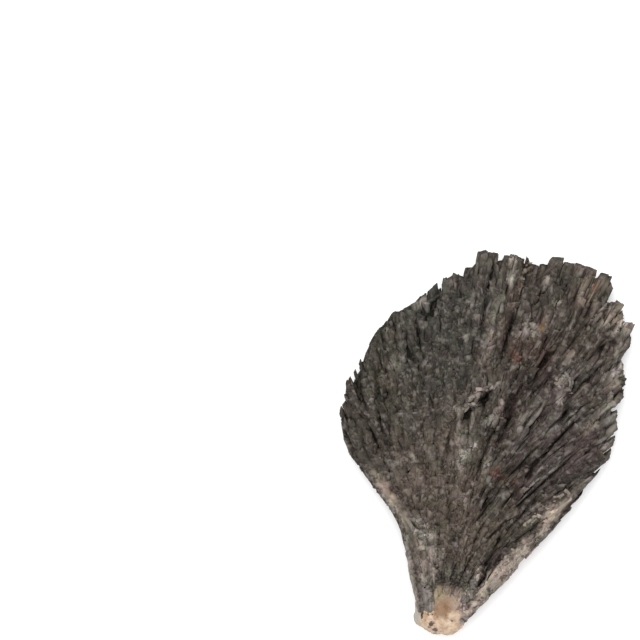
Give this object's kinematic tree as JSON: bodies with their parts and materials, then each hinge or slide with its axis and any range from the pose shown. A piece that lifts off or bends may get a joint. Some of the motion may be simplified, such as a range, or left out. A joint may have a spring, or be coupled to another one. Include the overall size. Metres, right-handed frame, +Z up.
{
  "type": "black kyanite fan",
  "caption": "Natural fan-shaped spray of flat black kyanite blades, grown together from one root around a lump of cream matrix, lying on its back.",
  "frame": {"origin": "centre of the bounding box's bottom face, on the surface that the fan rests on", "axes": "+Y from the root to the toothed rim, +Z up out of the front face, +X to the right seen from above"},
  "size_m": [0.0563, 0.0791, 0.0098],
  "materials": {
    "black_kyanite": "matte to satin, striated along the blades, dusted with pale mica and feldspar",
    "feldspar": "matte, sugary"
  },
  "bodies": {
    "root": {"kyanite_fan": "black_kyanite", "matrix_root": "feldspar"}
  },
  "joints": []
}
